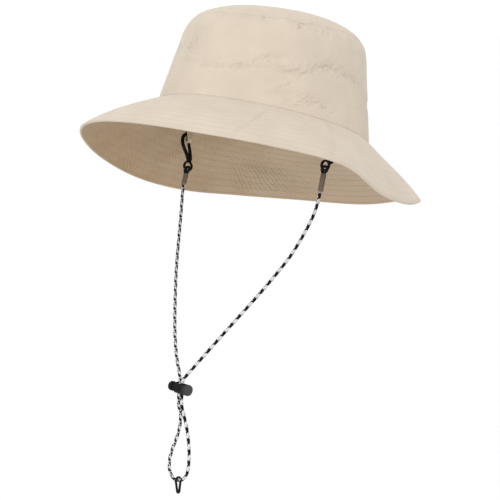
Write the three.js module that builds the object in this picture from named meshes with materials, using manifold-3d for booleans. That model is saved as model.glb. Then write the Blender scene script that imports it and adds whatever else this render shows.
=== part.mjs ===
// Packable bucket sun hat with a clip-on chin cord. Millimetres, +Z up, front towards -Y,
// the wearer's left at +X. The origin is the middle of the oval where the crown meets the brim.
import * as THREE from 'three';
import { mergeVertices } from 'three/addons/utils/BufferGeometryUtils.js';
import Module from 'manifold-3d';

const wasm = await Module();
wasm.setup();

const DEG = Math.PI / 180;
const CLEARANCE = 0.3;

// Hat body
const HEAD_HALF_LENGTH = 100.5;
const HEAD_HALF_WIDTH = 87;
const CROWN_FRONT_HEIGHT = 69;
const CROWN_BACK_HEIGHT = 85;
const CROWN_TOP_RATIO = 0.84;
const CROWN_TOP_SHIFT = -5;
const TIP_RISE = 20;
const TIP_ROUNDNESS = 4;
const TIP_SEAM_AT = 0.94;
const SHOULDER_BELOW = 0.13;
const SHOULDER_ABOVE = 0.1;
const CROWN_CLOTH = 1.6;
const BRIM_CLOTH = 2.4;
const BRIM_WIDTH = 72.5;
// Place behind the wearer's left where the brim is narrower: middle and reach in degrees, and the
// share of the width that it loses there
const BRIM_NARROW_MIDDLE = 45;
const BRIM_NARROW_REACH = 25;
const BRIM_NARROW_SHARE = 0.09;
const BRIM_CURL = 16.5;
const HAT_TILT = 17;

// Slope of the brim below level, in degrees, at equal steps round the oval from the wearer's left
// over the back, the wearer's right and the front
const BRIM_SLOPES = [47, 46, 35, 25, 29, 32, 39, 48, 50, 43, 34, 31, 32, 34, 34, 35];

// Soft folds in the crown's wall: where the middle lies (degrees round the oval and share of the
// wall's height), run above level, length, width and depth in mm, a positive depth standing proud
const CROWN_FOLDS = [
  { at: 283, height: 0.37, run: 2, length: 44, width: 7, depth: -1.1 },
  { at: 311, height: 0.56, run: 14, length: 30, width: 8, depth: -1.5 },
  { at: 325, height: 0.43, run: 12, length: 26, width: 7, depth: -1.6 },
  { at: 342, height: 0.58, run: 22, length: 28, width: 9, depth: -1.8 },
  { at: 340, height: 0.7, run: 8, length: 40, width: 14, depth: 1.2 },
  { at: 4, height: 0.57, run: -14, length: 44, width: 8, depth: -1.7 },
  { at: 319, height: 0.15, run: 18, length: 26, width: 8, depth: -1.3 },
  { at: 341, height: 0.16, run: -8, length: 36, width: 8, depth: -1.7 },
  { at: 336, height: 0.29, run: 2, length: 34, width: 12, depth: 1.1 },
  { at: 46, height: 0.42, run: 10, length: 46, width: 9, depth: -1.4 },
  { at: 70, height: 0.66, run: -16, length: 36, width: 10, depth: -1.3 },
  { at: 98, height: 0.3, run: 6, length: 50, width: 9, depth: -1.5 },
  { at: 128, height: 0.58, run: -10, length: 40, width: 10, depth: -1.4 },
  { at: 155, height: 0.36, run: 12, length: 38, width: 8, depth: -1.3 },
  { at: 186, height: 0.55, run: -6, length: 48, width: 9, depth: -1.5 },
  { at: 214, height: 0.3, run: 10, length: 36, width: 9, depth: -1.2 },
  { at: 240, height: 0.62, run: -12, length: 34, width: 10, depth: -1.2 },
  { at: 258, height: 0.42, run: 4, length: 34, width: 8, depth: -1.0 },
];

// Share of the wall's height over which the folds fade out above the brim
const FOLD_FADE = 0.08;

// Gathers where the tip is sewn to the wall: waves round the oval, depth in mm and phase
const GATHER_WAVES = [
  { count: 23, depth: 0.7, phase: 0 },
  { count: 15, depth: 0.42, phase: 1 },
];
const GATHER_REACH = 9;

// Grids
const ROUND_STEPS = 80;
const WALL_ROWS = 7;
const SHOULDER_ROWS = 3;
const BRIM_ROWS = 6;
const TIP_ROWS = 5;
const TIP_ROW_SPREAD = 1.35;
const PLATE_CURVE_STEPS = 4;

// Chin cord hardware: where each fabric loop is sewn, the eye of each hook and the lower end of
// its sleeve
const SIDES = [
  { name: 'right', seam: [-82.4, -8.6, 0], eye: [-76.2, -12.8, -39.6], sleeveEnd: [-75.4, -19.6, -55.4] },
  { name: 'left', seam: [81.6, 11.6, -5.4], eye: [74.8, -12, -30.6], sleeveEnd: [74, -17.6, -52.2] },
];
const HOOK_YAW = 15;
const HOOK_PLATE = 2.6;
const HOOK_BEVEL = 0.45;
const STROKE_STEPS = 2;

// Snap hook: the spine, which curls over at the top, and the gate, a springy tongue beside it.
// Rows: aside from the line between eye and seam, up from the eye's middle, and the width
const HOOK_SPINE = [
  { aside: -1.3, up: 3.8, width: 4.2 },
  { aside: -1.2, up: 6, width: 4.4 },
  { aside: -0.1, up: 9, width: 3.3 },
  { aside: 1.2, up: 12, width: 2.8 },
  { aside: 3.4, up: 17.2, width: 2.7 },
  { aside: 4.3, up: 21.9, width: 2.8 },
  { aside: 3.4, up: 26.2, width: 2.6 },
  { aside: 0.8, up: 28.4, width: 2.4 },
  { aside: -1.7, up: 27, width: 2 },
  { aside: -2.2, up: 23.8, width: 1.6 },
];
const HOOK_GATE = [
  { aside: -2.7, up: 5, width: 3 },
  { aside: -3.1, up: 8.6, width: 2.6 },
  { aside: -2.7, up: 15, width: 2.4 },
  { aside: -2, up: 20.4, width: 2.4 },
];
const EYE_RADIUS = 4.8;
const EYE_HOLE_RADIUS = 3.1;
const EYE_CURVE_STEPS = 7;
const TAPE_THICKNESS = 1.2;
const TAPE_WIDTH = 4.6;
const TAPE_SLOT = 3.4;
const TAPE_ASIDE = -2.2;
const TAPE_LOWEST = 20.9;
const SLEEVE_WIDTH = 5.6;
const SLEEVE_DEPTH = 3.4;
const SLEEVE_FROM_EYE = 7.2;
const SLEEVE_END_STEPS = 5;

// Cord
const CORD_DIAMETER = 2.7;
const BIGHT_DIAMETER = 2.4;
const CORD_SIDES = 8;
const CORD_STEPS = 70;
const BIGHT_STEPS = 20;

// One leg of the bight through a hook's eye: way down from the eye and aside from its middle
const BIGHT_LEG = [
  { down: SLEEVE_FROM_EYE - CLEARANCE, aside: 1.45 },
  { down: 6.1, aside: 1.5 },
  { down: 5.3, aside: 2.35 },
  { down: 4.1, aside: 3.25 },
  { down: 2.6, aside: 3.25 },
  { down: 1.3, aside: 2.1 },
];
const BIGHT_CROWN = 0.9;

// Cord lock
const LOCK_CENTRE = [-1, -109, -214];
const LOCK_TILT = 6;
const BARREL_LENGTH = 15.2;
const BARREL_RADIUS = 4.75;
const BORE_RADIUS = 3.3;
const BORE_FLOOR = 1.4;
const STEM_RADIUS = 3;
const BUTTON_RADIUS = 4.1;
const BUTTON_LENGTH = 4.3;
const PLUNGER_TRAVEL = 2;
const WINDOW_LENGTH = 8.8;
const WINDOW_WIDTH = 3.4;
const WINDOW_FROM = 4.6;
const STEM_END_WALL = 1.6;
const ROUND_EDGE = 1.6;
const ROUND_EDGE_INSET = 0.48;
const LOCK_ROUND_STEPS = 20;

// Pull ring
const RING_LENGTH = 15;
const RING_TOP_RADIUS = 3.9;
const RING_FOOT_RADIUS = 2.3;
const RING_WIRE = 1.8;
const RING_SLACK = 0.6;
const RING_BEVEL = 0.35;

// Route of the cord's middle, from the wearer's right sleeve through the lock, round the pull
// ring, back up through the lock and to the wearer's left sleeve
const CORD_ROUTE = [
  [-75.36, -19.75, -55.7], [-74.7, -21.9, -63], [-71.9, -26.6, -75.6],
  [-62.6, -41.2, -103], [-55.6, -51.4, -118], [-47.6, -62, -133],
  [-29.8, -83.6, -163], [-20.6, -93.6, -178], [-11.6, -101.8, -191.5], [-4.6, -107, -200.5],
  [-1.91, -109, -206.36],
  [-3.47, -109, -221.28],
  [-4.2, -108.3, -228], [-2.6, -107.8, -236], [-3.2, -108, -246], [-6.4, -108.6, -257],
  [-11.2, -109, -268], [-14.2, -109, -278], [-13.6, -109, -287], [-9.4, -109, -292.2],
  [-4.5, -109, -293.2], [1, -109, -291], [5.6, -109, -284.6], [7.5, -109, -274],
  [7.4, -109, -261], [5.8, -109.4, -248], [3.2, -110.2, -236], [0.6, -109.9, -228],
  [-0.09, -109, -221.64],
  [1.47, -109, -206.72],
  [5.2, -107.4, -201.5], [11.2, -102.4, -192.5], [20.2, -94, -178.6], [29.8, -83.6, -163],
  [47.6, -62, -133], [55.6, -51.4, -118], [62.6, -41.2, -103],
  [71.4, -26, -75], [73.4, -20.9, -62.6], [73.98, -17.7, -52.5],
];

// Materials
const cloth = new THREE.MeshStandardMaterial({ color: 0xe2d2bc, roughness: 0.85, metalness: 0 });
const moulded = new THREE.MeshStandardMaterial({ color: 0x131313, roughness: 0.45, metalness: 0 });
const shrink = new THREE.MeshStandardMaterial({ color: 0x5b4f45, roughness: 0.5, metalness: 0 });
const braid = new THREE.MeshStandardMaterial({ color: 0x777777, roughness: 0.8, metalness: 0 });

const vec = (x, y, z) => new THREE.Vector3(x, y, z);
const fromArray = (a) => vec(a[0], a[1], a[2]);

// Smooth round table: a Catmull-Rom curve through equal steps that closes on itself
function roundTable(values, angle) {
  const count = values.length;
  const place = ((angle / (2 * Math.PI)) * count + count) % count;
  const first = Math.floor(place);
  const f = place - first;
  const at = (step) => values[(first + step + count) % count];
  const [a, b, c, d] = [at(-1), at(0), at(1), at(2)];
  const bend = (3 * b - a - 3 * c + d) * f ** 3;
  return 0.5 * (2 * b + (c - a) * f + (2 * a - 5 * b + 4 * c - d) * f * f + bend);
}

function foldDepth(angle, height) {
  let depth = 0;
  for (const fold of CROWN_FOLDS) {
    const turn = Math.atan2(Math.sin(angle - fold.at * DEG), Math.cos(angle - fold.at * DEG));
    const across = turn * HEAD_HALF_WIDTH;
    const up = (height - fold.height) * CROWN_BACK_HEIGHT;
    const along = across * Math.cos(fold.run * DEG) + up * Math.sin(fold.run * DEG);
    const aside = up * Math.cos(fold.run * DEG) - across * Math.sin(fold.run * DEG);
    const length = along / (fold.length / 2);
    const width = aside / (fold.width / 2);
    depth += fold.depth * Math.exp(-(length ** 4) - width ** 2);
  }
  return depth;
}

function gatherDepth(angle, distance) {
  const wave = GATHER_WAVES.reduce(
    (sum, { count, depth, phase }) => sum + depth * Math.sin(count * angle + phase),
    0,
  );
  return wave * Math.exp(-((distance / GATHER_REACH) ** 2));
}

// Crown's outer skin before its shoulder is rounded: run 0 to 1 climbs the wall, 1 to 2 crosses
// the tip
function crownForm(angle, run) {
  const climb = Math.min(run, 1);
  const inward = Math.max(run - 1, 0);
  const scale = 1 - (1 - CROWN_TOP_RATIO) * climb;
  const middle = (CROWN_FRONT_HEIGHT + CROWN_BACK_HEIGHT) / 2;
  const lean = (CROWN_BACK_HEIGHT - CROWN_FRONT_HEIGHT) / 2;
  const edge = vec(
    HEAD_HALF_WIDTH * scale * Math.cos(angle),
    HEAD_HALF_LENGTH * scale * Math.sin(angle) + CROWN_TOP_SHIFT * climb,
    climb * (middle + lean * Math.sin(angle)),
  );
  const centre = vec(0, CROWN_TOP_SHIFT, middle);
  const share = 1 - inward;
  const point = edge.lerp(centre, inward);
  point.z += inward > 0 ? TIP_RISE * (1 - share ** TIP_ROUNDNESS) : 0;
  return point;
}

// Crown's outer skin without folds, its shoulder a parabola from the wall to the tip
function crownSkin(angle, run) {
  const along = (run - 1 + SHOULDER_BELOW) / (SHOULDER_BELOW + SHOULDER_ABOVE);
  if (along <= 0 || along >= 1) {
    return crownForm(angle, run);
  }
  return crownForm(angle, 1 - SHOULDER_BELOW).multiplyScalar((1 - along) ** 2)
    .addScaledVector(crownForm(angle, 1), 2 * along * (1 - along))
    .addScaledVector(crownForm(angle, 1 + SHOULDER_ABOVE), along * along);
}

function surfaceNormal(surface, angle, run) {
  const step = 0.004;
  const round = surface(angle + step, run).sub(surface(angle - step, run));
  const along = surface(angle, run + step).sub(surface(angle, run - step));
  return round.cross(along).normalize();
}

// Crown's skin with its folds and gathers, pushed in by a depth below the outer face
function crownPoint(angle, run, below) {
  const point = crownSkin(angle, run);
  const normal = surfaceNormal(crownSkin, angle, run);
  const seamDistance = (run - 2 + TIP_SEAM_AT) * HEAD_HALF_WIDTH * CROWN_TOP_RATIO;
  const calm = Math.min(run / FOLD_FADE, 1);
  const relief = foldDepth(angle, run) * calm + gatherDepth(angle, seamDistance);
  return point.addScaledVector(normal, relief - below);
}

// Width of the brim at an angle
function brimWidth(angle) {
  const turn = angle - BRIM_NARROW_MIDDLE * DEG;
  const away = Math.atan2(Math.sin(turn), Math.cos(turn)) / (BRIM_NARROW_REACH * DEG);
  return BRIM_WIDTH * (1 - BRIM_NARROW_SHARE * Math.exp(-away * away));
}

// Brim: from the oval outwards by a share of the width, the slope steepening a little to the edge
function brimSkin(angle, share) {
  const steps = 8;
  const width = brimWidth(angle);
  const base = vec(HEAD_HALF_WIDTH * Math.cos(angle), HEAD_HALF_LENGTH * Math.sin(angle), 0);
  const out = vec(Math.cos(angle) / HEAD_HALF_WIDTH, Math.sin(angle) / HEAD_HALF_LENGTH, 0);
  out.normalize();
  const slope = roundTable(BRIM_SLOPES, angle);
  for (let i = 0; i < steps; i += 1) {
    const at = ((i + 0.5) / steps) * share;
    const fall = (slope + BRIM_CURL * (at * at - 1 / 3)) * DEG;
    const length = (width * share) / steps;
    base.addScaledVector(out, Math.cos(fall) * length);
    base.z -= Math.sin(fall) * length;
  }
  return base;
}

// Inner corner of the seam between crown and brim
function seamInside(angle) {
  const foot = brimSkin(angle, 0);
  const across = foot.length();
  return foot.multiplyScalar((across - CROWN_CLOTH) / across);
}

// Closed skin swept round the oval: one section of points for each step; open sections end in poles
function sweptSkin(sectionAt, steps, poles) {
  const positions = [];
  const faces = [];
  const sections = [];
  for (let i = 0; i < steps; i += 1) {
    sections.push(sectionAt((i / steps) * 2 * Math.PI));
  }
  const count = sections[0].length;
  for (const section of sections) {
    for (const point of section) {
      positions.push(point.x, point.y, point.z);
    }
  }
  const at = (i, j) => (i % steps) * count + (j % count);
  const rows = poles ? count - 1 : count;
  for (let i = 0; i < steps; i += 1) {
    for (let j = 0; j < rows; j += 1) {
      faces.push(at(i, j), at(i + 1, j), at(i + 1, j + 1));
      faces.push(at(i, j), at(i + 1, j + 1), at(i, j + 1));
    }
  }
  if (poles) {
    const first = steps * count;
    for (const pole of poles) {
      positions.push(pole.x, pole.y, pole.z);
    }
    for (let i = 0; i < steps; i += 1) {
      faces.push(at(i + 1, 0), at(i, 0), first);
      faces.push(at(i, count - 1), at(i + 1, count - 1), first + 1);
    }
  }
  const geometry = new THREE.BufferGeometry();
  geometry.setAttribute('position', new THREE.Float32BufferAttribute(positions, 3));
  geometry.setIndex(faces);
  geometry.computeVertexNormals();
  return geometry;
}

function piece(name, geometry, material) {
  const mesh = new THREE.Mesh(geometry, material);
  mesh.name = name;
  return mesh;
}

function toSolid(geometry) {
  const plain = geometry.clone();
  plain.deleteAttribute('normal');
  plain.deleteAttribute('uv');
  const merged = mergeVertices(plain, 1e-4);
  return new wasm.Manifold(new wasm.Mesh({
    numProp: 3,
    vertProperties: Float32Array.from(merged.attributes.position.array),
    triVerts: Uint32Array.from(merged.index.array),
  }));
}

function fromSolid(solid) {
  const mesh = solid.getMesh();
  const geometry = new THREE.BufferGeometry();
  geometry.setAttribute('position', new THREE.BufferAttribute(mesh.vertProperties, 3));
  geometry.setIndex(new THREE.BufferAttribute(mesh.triVerts, 1));
  geometry.computeVertexNormals();
  return geometry;
}

// Crown side: the wall and the start of the rounded shoulder, open below and above
function crownSide() {
  const seamRun = 2 - TIP_SEAM_AT - CLEARANCE / HEAD_HALF_WIDTH;
  const runs = [];
  const shoulder = 1 - SHOULDER_BELOW;
  for (let i = 0; i <= WALL_ROWS; i += 1) {
    runs.push((shoulder * i) / WALL_ROWS);
  }
  for (let i = 1; i <= SHOULDER_ROWS; i += 1) {
    runs.push(shoulder + ((seamRun - shoulder) * i) / SHOULDER_ROWS);
  }
  const section = (angle) => [
    ...runs.map((run) => crownPoint(angle, run, 0)),
    ...runs.slice(1).toReversed().map((run) => crownPoint(angle, run, CROWN_CLOTH)),
    seamInside(angle),
  ];
  return sweptSkin(section, ROUND_STEPS);
}

// Crown tip: the domed oval on top
function crownTip() {
  const runs = [];
  for (let i = 0; i < TIP_ROWS; i += 1) {
    runs.push(2 - TIP_SEAM_AT * (1 - (i / TIP_ROWS) ** TIP_ROW_SPREAD));
  }
  const section = (angle) => [
    ...runs.toReversed().map((run) => crownPoint(angle, run, CROWN_CLOTH)),
    ...runs.map((run) => crownPoint(angle, run, 0)),
  ];
  const top = crownSkin(0, 2);
  const under = top.clone();
  under.z -= CROWN_CLOTH;
  return sweptSkin(section, ROUND_STEPS, [under, top]);
}

// Brim: its inner edge is mitred under the foot of the wall
function brim() {
  const shares = [];
  for (let i = 1; i <= BRIM_ROWS; i += 1) {
    shares.push(i / BRIM_ROWS);
  }
  const section = (angle) => {
    const foot = brimSkin(angle, 0);
    const drop = vec(0, 0, -CLEARANCE);
    const upper = shares.map((share) => brimSkin(angle, share).add(drop));
    const lower = shares.map((share) => {
      const normal = surfaceNormal(brimSkin, angle, share);
      return brimSkin(angle, share).add(drop).addScaledVector(normal, BRIM_CLOTH);
    });
    return [seamInside(angle).add(drop), ...lower, ...upper.toReversed(), foot.add(drop)];
  };
  return sweptSkin(section, ROUND_STEPS);
}

// Frame of one side's hardware: y runs from the hook's eye to the seam, z is the plate's normal
function hookFrame(side) {
  const eye = fromArray(side.eye);
  const up = fromArray(side.seam).sub(eye);
  const reach = up.length();
  up.normalize();
  const front = vec(-Math.sin(HOOK_YAW * DEG), -Math.cos(HOOK_YAW * DEG), 0);
  front.addScaledVector(up, -front.dot(up)).normalize();
  const normal = front.clone().cross(up);
  const matrix = new THREE.Matrix4().makeBasis(front, up, normal).setPosition(eye);
  return { eye, reach, normal, matrix };
}

function placeIn(mesh, matrix) {
  matrix.decompose(mesh.position, mesh.quaternion, mesh.scale);
  return mesh;
}

function plate(shape, thickness, bevel = 0, curveSteps = PLATE_CURVE_STEPS) {
  const geometry = new THREE.ExtrudeGeometry(shape, {
    depth: thickness - 2 * bevel,
    curveSegments: curveSteps,
    bevelEnabled: bevel > 0,
    bevelThickness: bevel,
    bevelSize: bevel,
    bevelOffset: -bevel,
    bevelSegments: 1,
  });
  return geometry.translate(0, 0, bevel - thickness / 2);
}

// Fabric loop sewn into the seam: a folded tape seen as a long ring, hanging over the hook's tip
function fabricLoop(frame) {
  const half = TAPE_SLOT / 2 + TAPE_THICKNESS;
  const low = TAPE_LOWEST + half;
  const outline = new THREE.Shape();
  outline.absarc(0, frame.reach, half, 0, Math.PI);
  outline.absarc(0, low, half, Math.PI, 2 * Math.PI);
  const slot = new THREE.Path();
  slot.absarc(0, low, TAPE_SLOT / 2, 2 * Math.PI, Math.PI, true);
  slot.absarc(0, frame.reach, TAPE_SLOT / 2, Math.PI, 0, true);
  outline.holes.push(slot);
  const geometry = plate(outline, TAPE_WIDTH);
  return geometry.rotateY(Math.PI / 2).translate(TAPE_ASIDE, 0, 0);
}

// Flat stroke of changing width along a smooth line through its rows
function stroke(rows) {
  const knots = rows.map(({ aside, up, width }) => vec(aside, up, width));
  const line = new THREE.CatmullRomCurve3(knots, false, 'centripetal');
  const points = line.getPoints(STROKE_STEPS * (rows.length - 1));
  const edge = (way) => points.map((at, index) => {
    const before = points[Math.max(index - 1, 0)];
    const after = points[Math.min(index + 1, points.length - 1)];
    const along = new THREE.Vector2(after.x - before.x, after.y - before.y).normalize();
    const half = (way * at.z) / 2;
    return new THREE.Vector2(at.x - along.y * half, at.y + along.x * half);
  });
  return new THREE.Shape([...edge(-1), ...edge(1).toReversed()]);
}

// Snap hook: a round eye below, the spine and the gate
function snapHook() {
  const eye = new THREE.Shape();
  eye.absarc(0, 0, EYE_RADIUS, 0, 2 * Math.PI);
  const eyeHole = new THREE.Path();
  eyeHole.absarc(0, 0, EYE_HOLE_RADIUS, 0, 2 * Math.PI, true);
  eye.holes.push(eyeHole);
  const ring = toSolid(plate(eye, HOOK_PLATE, HOOK_BEVEL, EYE_CURVE_STEPS));
  const spine = toSolid(plate(stroke(HOOK_SPINE), HOOK_PLATE, HOOK_BEVEL));
  const gate = toSolid(plate(stroke(HOOK_GATE), HOOK_PLATE, HOOK_BEVEL));
  return fromSolid(ring.add(spine).add(gate));
}

function regularSection(diameter, sides) {
  const points = [];
  for (let i = 0; i < sides; i += 1) {
    const angle = ((i + 0.5) / sides) * 2 * Math.PI;
    points.push(new THREE.Vector2(Math.cos(angle), Math.sin(angle)).multiplyScalar(diameter / 2));
  }
  return new THREE.Shape(points);
}

function tubeAlong(points, diameter, steps) {
  const path = new THREE.CatmullRomCurve3(points, false, 'centripetal');
  path.arcLengthDivisions = 1000;
  return new THREE.ExtrudeGeometry(regularSection(diameter, CORD_SIDES), {
    steps,
    bevelEnabled: false,
    extrudePath: path,
  });
}

// The short bight of cord through a hook's eye, both legs ending at the sleeve
function cordBight(side, frame) {
  const along = fromArray(side.sleeveEnd).sub(frame.eye).normalize();
  const across = frame.normal.clone().addScaledVector(along, -frame.normal.dot(along)).normalize();
  const place = (down, aside) => frame.eye.clone()
    .addScaledVector(along, down)
    .addScaledVector(across, aside);
  const points = [
    ...BIGHT_LEG.map(({ down, aside }) => place(down, aside)),
    place(BIGHT_CROWN, 0),
    ...BIGHT_LEG.toReversed().map(({ down, aside }) => place(down, -aside)),
  ];
  return tubeAlong(points, BIGHT_DIAMETER, BIGHT_STEPS);
}

// Oval sleeve that grips the bight's two legs
function cordSleeve(side, frame) {
  const along = fromArray(side.sleeveEnd).sub(frame.eye);
  const length = along.length() - SLEEVE_FROM_EYE;
  along.normalize();
  const across = frame.normal.clone().addScaledVector(along, -frame.normal.dot(along)).normalize();
  const depth = across.clone().cross(along);
  const outline = new THREE.Shape();
  const end = (SLEEVE_WIDTH - SLEEVE_DEPTH) / 2;
  outline.absarc(end, 0, SLEEVE_DEPTH / 2, -Math.PI / 2, Math.PI / 2);
  outline.absarc(-end, 0, SLEEVE_DEPTH / 2, Math.PI / 2, (3 * Math.PI) / 2);
  const geometry = new THREE.ExtrudeGeometry(outline, {
    depth: length,
    curveSegments: SLEEVE_END_STEPS,
    bevelEnabled: false,
  });
  const start = frame.eye.clone().addScaledVector(along, SLEEVE_FROM_EYE);
  const basis = new THREE.Matrix4().makeBasis(across, depth.negate(), along).setPosition(start);
  return { geometry, basis };
}

// Cord lock, built along x with the closed end of the barrel at zero and the button beyond it
function turned(profile) {
  const points = profile.map(([radius, along]) => new THREE.Vector2(radius, along));
  return new THREE.LatheGeometry(points, LOCK_ROUND_STEPS).rotateZ(-Math.PI / 2);
}

function lockWindow(from) {
  const block = new THREE.BoxGeometry(WINDOW_LENGTH, WINDOW_WIDTH, 4 * BARREL_RADIUS);
  return toSolid(block.translate(from + WINDOW_LENGTH / 2, 0, 0));
}

function lockBarrel() {
  const inset = ROUND_EDGE_INSET;
  const body = turned([
    [0, 0],
    [BARREL_RADIUS - ROUND_EDGE, 0],
    [BARREL_RADIUS - inset, inset],
    [BARREL_RADIUS, ROUND_EDGE],
    [BARREL_RADIUS, BARREL_LENGTH - inset],
    [BARREL_RADIUS - inset, BARREL_LENGTH],
    [BORE_RADIUS, BARREL_LENGTH],
    [BORE_RADIUS, BORE_FLOOR],
    [0, BORE_FLOOR],
  ]);
  return fromSolid(toSolid(body).subtract(lockWindow(WINDOW_FROM)));
}

function lockPlunger() {
  const slotFrom = WINDOW_FROM + PLUNGER_TRAVEL;
  const headFrom = BARREL_LENGTH + PLUNGER_TRAVEL + CLEARANCE;
  const headTo = headFrom + BUTTON_LENGTH;
  const inset = ROUND_EDGE_INSET;
  const body = turned([
    [0, slotFrom - STEM_END_WALL],
    [STEM_RADIUS, slotFrom - STEM_END_WALL],
    [STEM_RADIUS, headFrom],
    [BUTTON_RADIUS - inset, headFrom],
    [BUTTON_RADIUS, headFrom + inset],
    [BUTTON_RADIUS, headTo - ROUND_EDGE],
    [BUTTON_RADIUS - inset, headTo - inset],
    [BUTTON_RADIUS - ROUND_EDGE, headTo],
    [0, headTo],
  ]);
  return fromSolid(toSolid(body).subtract(lockWindow(slotFrom)));
}

// Pull ring: a drop-shaped ring that hangs on the lowest point of the cord's loop
function pullRing() {
  const outline = new THREE.Shape();
  const foot = -(RING_LENGTH - RING_TOP_RADIUS - RING_FOOT_RADIUS);
  outline.absarc(0, 0, RING_TOP_RADIUS, 0, Math.PI);
  outline.absarc(0, foot, RING_FOOT_RADIUS, Math.PI, 2 * Math.PI);
  const hole = new THREE.Path();
  hole.absarc(0, foot, RING_FOOT_RADIUS - RING_WIRE, 2 * Math.PI, Math.PI, true);
  hole.absarc(0, 0, RING_TOP_RADIUS - RING_WIRE, Math.PI, 0, true);
  outline.holes.push(hole);
  return plate(outline, RING_WIRE, RING_BEVEL).rotateX(Math.PI / 2).rotateZ(Math.PI / 2);
}

const model = new THREE.Group();

const hat = new THREE.Group();
hat.rotation.x = -HAT_TILT * DEG;
hat.add(piece('crown_tip', crownTip(), cloth));
hat.add(piece('crown_side', crownSide(), cloth));
hat.add(piece('brim', brim(), cloth));
model.add(hat);

for (const side of SIDES) {
  const frame = hookFrame(side);
  model.add(placeIn(piece(`fabric_loop_${side.name}`, fabricLoop(frame), cloth), frame.matrix));
  model.add(placeIn(piece(`snap_hook_${side.name}`, snapHook(), moulded), frame.matrix));
  model.add(piece(`cord_bight_${side.name}`, cordBight(side, frame), braid));
  const sleeve = cordSleeve(side, frame);
  model.add(placeIn(piece(`cord_sleeve_${side.name}`, sleeve.geometry, shrink), sleeve.basis));
}

model.add(piece('chin_cord', tubeAlong(CORD_ROUTE.map(fromArray), CORD_DIAMETER, CORD_STEPS), braid));

// The lock lies across the two cords: its closed end points to the wearer's left and a little down
const lock = new THREE.Group();
lock.position.copy(fromArray(LOCK_CENTRE));
lock.rotation.y = Math.PI + LOCK_TILT * DEG;
const cordsAt = WINDOW_FROM + (WINDOW_LENGTH + PLUNGER_TRAVEL) / 2;
for (const [name, geometry] of [['barrel', lockBarrel()], ['plunger', lockPlunger()]]) {
  lock.add(piece(`cord_lock_${name}`, geometry.translate(-cordsAt, 0, 0), moulded));
}
model.add(lock);

const ring = piece('pull_ring', pullRing(), moulded);
const lowest = CORD_ROUTE.map(fromArray).reduce((low, point) => (point.z < low.z ? point : low));
const ringDrop = RING_TOP_RADIUS - RING_WIRE - CORD_DIAMETER / 2 - RING_SLACK;
ring.position.copy(lowest).add(vec(0, 0, -ringDrop));
model.add(ring);

export default model;
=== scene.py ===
"""Packable bucket sun hat with a clip-on chin cord, seen from its front left.

The frame gives the hat's pieces in metres: +Z up, the front towards -Y, the wearer's left at +X,
and the origin in the middle of the oval where crown and brim meet. The sewn panels and the cords
are surfaces of two parameters, worked out here as whole arrays; the tapes, sleeves, hooks, lock and
ring keep their solids under a smooth skin.
"""
import math

import bpy
import numpy as np
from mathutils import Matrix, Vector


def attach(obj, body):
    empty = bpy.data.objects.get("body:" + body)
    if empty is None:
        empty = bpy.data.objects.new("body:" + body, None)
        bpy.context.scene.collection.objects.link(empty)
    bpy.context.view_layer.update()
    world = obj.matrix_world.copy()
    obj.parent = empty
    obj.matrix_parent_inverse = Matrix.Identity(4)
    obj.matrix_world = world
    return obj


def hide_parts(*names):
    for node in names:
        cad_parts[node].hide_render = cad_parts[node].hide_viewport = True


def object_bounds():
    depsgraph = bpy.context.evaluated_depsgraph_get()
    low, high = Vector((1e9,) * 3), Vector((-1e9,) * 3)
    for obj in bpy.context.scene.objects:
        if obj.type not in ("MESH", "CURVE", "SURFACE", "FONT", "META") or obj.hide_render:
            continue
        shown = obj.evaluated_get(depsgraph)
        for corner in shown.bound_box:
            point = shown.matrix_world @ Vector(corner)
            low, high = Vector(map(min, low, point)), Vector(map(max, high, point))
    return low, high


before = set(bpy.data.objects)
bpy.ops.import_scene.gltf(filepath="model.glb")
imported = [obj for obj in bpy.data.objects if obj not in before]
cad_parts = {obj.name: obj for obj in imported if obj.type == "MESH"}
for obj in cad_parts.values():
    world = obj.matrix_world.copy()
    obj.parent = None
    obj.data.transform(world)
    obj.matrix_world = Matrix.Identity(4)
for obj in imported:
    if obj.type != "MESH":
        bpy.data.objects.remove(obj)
cad_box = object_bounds()

MM = 0.001
TURN = 2 * math.pi

# Camera, at the photograph's angle, and the way to it from the origin
CAMERA_DISTANCE = 1.6036
CAMERA_AZIMUTH = math.radians(38.77)
CAMERA_ELEVATION = math.radians(3.78)
CAMERA_PAN = math.radians(0.439)
CAMERA_TILT = math.radians(3.873)
CAMERA_LENS = 133.9
CAMERA_SENSOR = 36.0
CAMERA_WAY = np.array([
    math.sin(CAMERA_AZIMUTH) * math.cos(CAMERA_ELEVATION),
    -math.cos(CAMERA_AZIMUTH) * math.cos(CAMERA_ELEVATION),
    math.sin(CAMERA_ELEVATION),
])

# Hat body
HEAD_HALF_LENGTH = 100.5 * MM
HEAD_HALF_WIDTH = 87 * MM
CROWN_FRONT_HEIGHT = 69 * MM
CROWN_BACK_HEIGHT = 85 * MM
CROWN_TOP_RATIO = 0.84
CROWN_TOP_SHIFT = -5 * MM
TIP_RISE = 20 * MM
TIP_ROUNDNESS = 4
TIP_SEAM_AT = 0.94
SHOULDER_BELOW = 0.13
SHOULDER_ABOVE = 0.1
CROWN_CLOTH = 1.6 * MM
BRIM_CLOTH = 2.4 * MM
BRIM_WIDTH = 72.5 * MM
BRIM_NARROW_MIDDLE = math.radians(45)
BRIM_NARROW_REACH = math.radians(25)
BRIM_NARROW_SHARE = 0.09
# Share of the width past which the brim's underside keeps the top's nylon: a pale band, painted
# highlight along the rim
BRIM_HEM_HIGHLIGHT_FROM = 0.98
BRIM_RIM_ROUND = 1.1 * MM
BRIM_CURL = math.radians(16.5)
HAT_TILT = math.radians(17)
SEAM_GAP = 0.01 * MM

# Fineness of the panels: steps round the crown and brim, rows up the wall's two faces and across
# the tip, how far these crowd at its edge, and the steps that sum the brim
ROUND_STEPS = 620
BRIM_ROUND_STEPS = 560
WALL_ROWS = 112
WALL_INNER_ROWS = 46
TIP_ROWS = 64
TIP_CROWDING = 1.2
BRIM_SUM_STEPS = 8

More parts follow.
